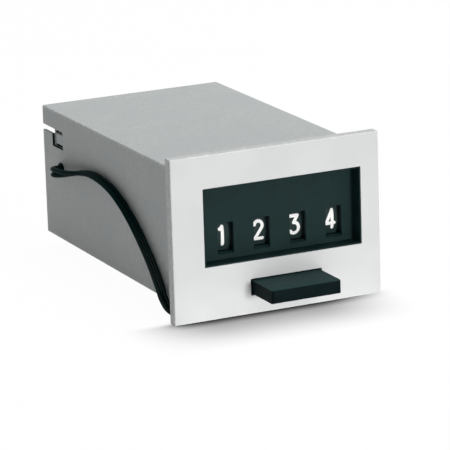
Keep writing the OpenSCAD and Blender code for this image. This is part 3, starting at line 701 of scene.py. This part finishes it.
def makeCover():
    c = coverSheet
    w, h = c["half"]
    y0, y1 = c["depth"]
    thick, earFront, ez0, ez1 = c["ear"]
    ly0, ly1, lz0, lz1, out = c["lug"]
    bm = bmesh.new()
    block(bm, (-w, y0, -h), (w, y1, h))
    corners = [e for e in bm.edges if abs(e.verts[0].co.y - e.verts[1].co.y) > near]
    ease(bm, corners, c["corner"], segments=3)
    cut(bm, "x", -w + thick, w - thick)
    cut(bm, "z", ez0, ez1)
    bm.normal_update()
    for s in (-1, 1):
        x0, x1 = sorted((s * w, s * (w - thick)))
        root = facesIn(bm, (x0, y0 - past, ez0), (x1, y0 + past, ez1), yWay)
        pull(bm, root, (0, earFront - y0, 0))
    sy0, sy1, sz0, sz1, low, high = c["slit"]
    cut(bm, "y", ly0, ly1, sy0, sy1)
    cut(bm, "z", lz0, lz1, sz0, sz1, low, high)
    bm.normal_update()
    for s in (-1, 1):
        x0, x1 = sorted((s * (w - past), s * (w + past)))
        pull(bm, facesIn(bm, (x0, ly0, lz0), (x1, ly1, lz1), xWay), (s * out, 0, 0))
        x0, x1 = sorted((s * (w + past), s * (w - thick - past)))
        legs = [((x0, ly0, z0), (x1, sy0, z1)) for z0, z1 in ((sz0, low), (high, sz1))]
        # the slit's walls are painted dark, as shade in the gap round the lug
        for face in pierce(bm, xWay, ((x0, sy0, sz0), (x1, sy1, sz1)), *legs):
            face.material_index = 1
    ease(bm, sharpEdges(bm), c["ease"])
    sheet = showMesh("cover_sheet", bm, "sheet", "case", ["rear_cover"])
    evenShading(sheet).data.materials.append(finishes["cutEdgeShade"])


makeCover()
print("rear cover made")


def arc(u, v, ru, rv, first, last, steps=14):
    turns = [math.radians(first + (last - first) * k / steps) for k in range(steps + 1)]
    return [(u + ru * math.cos(t), v + rv * math.sin(t)) for t in turns]


figures = {
    "radius": 12.0,
    "axis": (15.2, -1.6),
    "stroke": 0.45,  # half a stroke's width
    "size": (0.92, 0.94),
    "proud": 0.03,
    "gap": 0.3,  # points lie no further apart along a stroke
    "corner": 0.9,  # cosine of the turn past which a corner is rounded
    "smooth": 2,
    "ball": (14, 8),
    "wheels": ("thousands", "hundreds", "tens", "units"),  # showing 1, 2, 3 and 4
    "strokes": (
        (arc(0, 0, 1.3, 2.55, 90, 450, 32),),
        (((-0.75, 1.85), (-0.3, 2.15), (0.1, 2.55), (0.1, -2.55)),),
        (arc(0, 1.3, 1.25, 1.25, 165, -28) + [(-1.2, -2.5), (1.3, -2.5)],),
        ([(-1.15, 2.5), (1.1, 2.5), (-0.25, 0.6)] + arc(-0.1, -1.0, 1.4, 1.55, 95, -145, 18),),
        (((0.7, -2.55), (0.7, 2.55), (-1.3, -1.25), (1.35, -1.25)),),
        ([(1.15, 2.5), (-0.95, 2.5), (-1.1, 0.3)] + arc(-0.05, -0.95, 1.35, 1.6, 120, -145, 18),),
        (arc(0, -1.2, 1.3, 1.35, 150, 510, 28), [(0.7, 2.5), (-0.5, 0.9), (-1.13, -0.5)]),
        (((-1.25, 2.5), (1.3, 2.5), (-0.35, -2.55)),),
        (arc(0, 1.4, 1.1, 1.15, 90, 450, 26), arc(0, -1.15, 1.3, 1.4, 90, 450, 28)),
        (arc(0, 1.2, 1.3, 1.35, -30, 330, 28), [(-0.7, -2.5), (0.5, -0.9), (1.13, 0.5)]),
    ),
}


def closeSet(points):  # points close enough together to follow the rim
    spots = [Vector(points[0])]
    for u, v in points[1:]:
        last, end = spots[-1], Vector((u, v))
        parts = max(1, math.ceil((end - last).length / figures["gap"]))
        spots += [last.lerp(end, (k + 1) / parts) for k in range(parts)]
    return spots


def drawStroke(bm, points):  # a round-ended flat bar, laid in u and v
    wide, high = figures["size"]
    spots = closeSet([(u * wide, v * high) for u, v in points])
    data = bpy.data.curves.new("stroke", "CURVE")
    data.dimensions = "3D"
    data.bevel_depth = figures["stroke"]
    data.bevel_resolution = figures["smooth"]
    line = data.splines.new("POLY")
    line.points.add(len(spots) - 1)
    for point, (u, v) in zip(line.points, spots):
        point.co = (u, v, 0, 1)
    drawn = bpy.data.objects.new("stroke", data)
    mesh = drawn.to_mesh()
    bm.from_mesh(mesh)
    drawn.to_mesh_clear()
    bpy.data.objects.remove(drawn)
    bpy.data.curves.remove(data)
    bmesh.ops.holes_fill(bm, edges=[e for e in bm.edges if e.is_boundary])
    ways = [(b - a).normalized() for a, b in zip(spots, spots[1:])]
    turned = [b for a, b, c in zip(ways, spots[1:], ways[1:]) if a.dot(c) < figures["corner"]]
    around, down = figures["ball"]
    for u, v in [spots[0], spots[-1], *turned]:  # round the ends and the sharp corners
        at = Matrix.Translation((u, v, 0))
        bmesh.ops.create_uvsphere(
            bm, u_segments=around, v_segments=down, radius=figures["stroke"], matrix=at
        )


def makeFigures(body, x, shown):
    ay, az = figures["axis"]
    step = math.tau / len(figures["strokes"])
    bm = bmesh.new()
    for digit, strokes in enumerate(figures["strokes"]):
        one = bmesh.new()
        for points in strokes:
            drawStroke(one, points)
        for v in one.verts:  # wrap the flat figure onto the wheel's rim
            up = v.co.y / figures["radius"] - step * (digit - shown)
            r = figures["radius"] + figures["proud"] * v.co.z / figures["stroke"]
            v.co = (x + v.co.x, ay - r * math.cos(up), az + r * math.sin(up))
        flat = bpy.data.meshes.new("figure")
        one.to_mesh(flat)
        one.free()
        bm.from_mesh(flat)
        bpy.data.meshes.remove(flat)
    showMesh(body + "_figures", bm, "figure", body, ())


for shown, body in enumerate(figures["wheels"], start=1):
    makeFigures(body, maskMoulding["digits"][shown - 1], shown)
print("figures drawn on", len(figures["wheels"]), "wheels")

springWire = {"steps": 20, "round": 10}  # steps in a turn, sides of the wire
springs = {
    "reset": {
        "node": "reset_spring", "middle": (-22.4, 29.285, -13.6), "radius": 0.92, "wire": 0.18,
        "length": 15.5, "turns": 9, "joint": "key_press", "keep": 0.548,
    },
    "armature": {
        "node": "armature_spring", "middle": (1.7, 37.2, 0.95), "radius": 4.7, "wire": 0.25,
        "length": 4.69, "turns": 3, "joint": "armature_swing", "keep": 0.45,
    },
}


def windSpring(kind):  # wire wound round Y
    s = springs[kind]
    steps = springWire["steps"] * s["turns"]
    bm = bmesh.new()
    out = Matrix.Translation((s["radius"], 0, 0))
    circle = bmesh.ops.create_circle(bm, segments=springWire["round"], radius=s["wire"], matrix=out)
    ring = circle["verts"]
    bmesh.ops.spin(
        bm, geom=ring + edgesOf(ring), cent=(0, 0, 0), axis=yWay, dvec=(0, s["length"] / steps, 0),
        angle=math.tau * s["turns"], steps=steps, use_duplicate=False,
    )
    bmesh.ops.holes_fill(bm, edges=[e for e in bm.edges if e.is_boundary])
    bmesh.ops.translate(bm, vec=s["middle"], verts=bm.verts)
    coil = showMesh(kind + "_coil", bm, "steel", "case", [s["node"]])
    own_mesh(coil)


for kind in springs:
    windSpring(kind)
print("springs wound:", len(springs))

pawlLeaf = {
    "across": (0.2, 3.2),
    "line": ((36.6, -13.1), (35.1, -13.1), (28.9, -10.78)),  # y and z along its underside
    "bend": 0.7,
    "thick": 0.26,
    "ease": 0.05,
    "keep": 0.5,
}


def makeLeaf():
    p = pawlLeaf
    x0, x1 = p["across"]
    bm = bmesh.new()
    spots = [bm.verts.new((x0, y, z)) for y, z in p["line"]]
    for first, second in zip(spots, spots[1:]):
        bm.edges.new((first, second))
    bmesh.ops.bevel(
        bm, geom=[spots[1]], offset=p["bend"], offset_type="OFFSET", segments=5, profile=0.5,
        affect="VERTICES", material=-1,
    )
    drawn = bmesh.ops.extrude_edge_only(bm, edges=bm.edges[:])["geom"]
    moved = [g for g in drawn if isinstance(g, bmesh.types.BMVert)]
    bmesh.ops.translate(bm, vec=(x1 - x0, 0, 0), verts=moved)
    bm.normal_update()
    bmesh.ops.reverse_faces(bm, faces=[f for f in bm.faces if f.normal.z > 0])
    bmesh.ops.solidify(bm, geom=bm.faces[:], thickness=p["thick"])
    ease(bm, sharpEdges(bm), p["ease"])
    leaf = showMesh("pawl_leaf", bm, "brass", "armature", ["pawl_spring"])
    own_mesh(leaf)


makeLeaf()
print("pawl leaf bent")

carried = {
    "wheel": ("thousands_wheel", "hundreds_wheel", "tens_wheel", "units_wheel"),
    "lead": ("inner_leads", "lead_grommet"),
    "brass": (
        "thousands_pawl", "hundreds_pawl", "tens_pawl", "units_pawl", "shaft_pinion", "coil_pins",
        "rear_post",
    ),
    "ivory": ("idler_gear", "coil_bobbin"),
    "coil": ("coil_winding",),
    "steel": (
        "rear_screw", "left_frame_plate", "right_frame_plate", "frame_spacers", "frame_screws",
        "wheel_shaft", "shaft_clip", "brake_washers", "reset_slide", "guide_stud", "idler_axle", "yoke",
        "coil_core", "core_screw", "armature", "armature_pin", "drive_pawl", "pawl_pin",
    ),
}
for finish, names in carried.items():
    for name in names:
        for slot in nodes[name].material_slots:
            slot.material = finishes[finish]
print("solids dressed:", sum(len(names) for names in carried.values()))

studio = {  # mm, apart from the lamps
    "floor": -22.0,
    "under": 0.02,  # the paper lies this far below the part
    "reach": 6000.0,
    "paper": (242, 252, 0.975),  # tone to bounced light and to the eye, and how evenly white
    "sky": 0.18,
    "shadow": {  # along the plate's foot
        "left": (-46, -18), "right": (8, 36), "front": (-31, 1), "rear": (-3, 1),
        "soft": 0.75, "crack": 2.4, "close": 5.0, "samples": 8,
    },
    "spill": {  # bright paper before the plate, lighting it from below
        "left": (-45, -20), "right": (20, 45), "front": (-45, -25), "rear": (-3, 1),
        "share": 0.5, "strength": 2.3,
    },
    "lamps": (  # place in m, size in m, watts
        ("top", (0.22, 0.14, 0.85), 0.45, 5.5),
        ("front", (0.14, -0.88, 0.05), 0.14, 4.6),
        ("soft", (0.3, -0.55, 0.6), 0.7, 1.3),
    ),
}


def floorPaper():
    f = Finish("studio_floor", Specular_IOR_Level=0.0, Roughness=0.9)
    bounced, shown, even = studio["paper"]
    shadow, spill = studio["shadow"], studio["spill"]
    path = f.node("ShaderNodeLightPath", {}, {}).socket.node
    seen = Wire(f, path.outputs["Is Camera Ray"]).atLeast(Wire(f, path.outputs["Is Glossy Ray"]))
    seen = seen.atLeast(Wire(f, path.outputs["Is Transmission Ray"]))
    f.feed("Base Color", f.blend(seen, shade(bounced), shade(shown)))
    x, y, _ = f.axes()
    crack = f.node(
        "ShaderNodeAmbientOcclusion",
        {"samples": shadow["samples"]},
        {"Distance": shadow["close"] * mm},
        "AO",
    )
    along = x.ramp(*shadow["left"]) * (1 - x.ramp(*shadow["right"])) * (1 - y.ramp(*shadow["rear"]))
    level = 1 - shadow["soft"] * along * y.ramp(*shadow["front"])
    level = level * (1 - shadow["crack"] * along * (1 - crack))
    white, black = (1, 1, 1, 1), (0, 0, 0, 1)
    glow = f.node("ShaderNodeEmission", {}, {"Color": f.blend(level, black, white)})
    patch = x.ramp(*spill["left"]) * (1 - x.ramp(*spill["right"]))
    patch = patch * y.ramp(*spill["front"]) * (1 - y.ramp(*spill["rear"]))
    bright = f.node("ShaderNodeEmission", {}, {"Strength": spill["strength"]})
    plain = Wire(f, f.shader.outputs[0])
    paper = f.node("ShaderNodeMixShader", {}, {0: patch * spill["share"], 1: plain, 2: bright})
    both = f.node("ShaderNodeMixShader", {}, {0: seen * even, 1: paper, 2: glow})
    f.tree.links.new(both.socket, f.tree.nodes["Material Output"].inputs["Surface"])
    return f.material


def layFloor():
    bm = bmesh.new()
    bmesh.ops.create_grid(bm, x_segments=1, y_segments=1, size=studio["reach"] * mm)
    bmesh.ops.translate(bm, vec=(0, 0, (studio["floor"] - studio["under"]) * mm), verts=bm.verts)
    mesh = bpy.data.meshes.new("floor")
    bm.to_mesh(mesh)
    bm.free()
    mesh.materials.append(floorPaper())
    floor = bpy.data.objects.new("floor", mesh)
    scene.collection.objects.link(floor)


def lightStudio():
    scene.world = bpy.data.worlds.new("studio")
    sky = Finish("studio", scene.world, Color=(1, 1, 1, 1))
    lit = sky.node("ShaderNodeLightPath", {}, {}, "Is Diffuse Ray")
    sky.feed("Strength", 1 - lit * (1 - studio["sky"]))  # white to the eye, dim as a light
    for name, place, size, watts in studio["lamps"]:
        lamp = bpy.data.lights.new(name, "AREA")
        lamp.size = size
        lamp.energy = watts
        turn = Vector(place).to_track_quat("Z", "Y").to_matrix().to_4x4()
        obj = bpy.data.objects.new(name, lamp)
        obj.matrix_world = Matrix.Translation(place) @ turn
        scene.collection.objects.link(obj)


layFloor()
lightStudio()
print("studio lit")
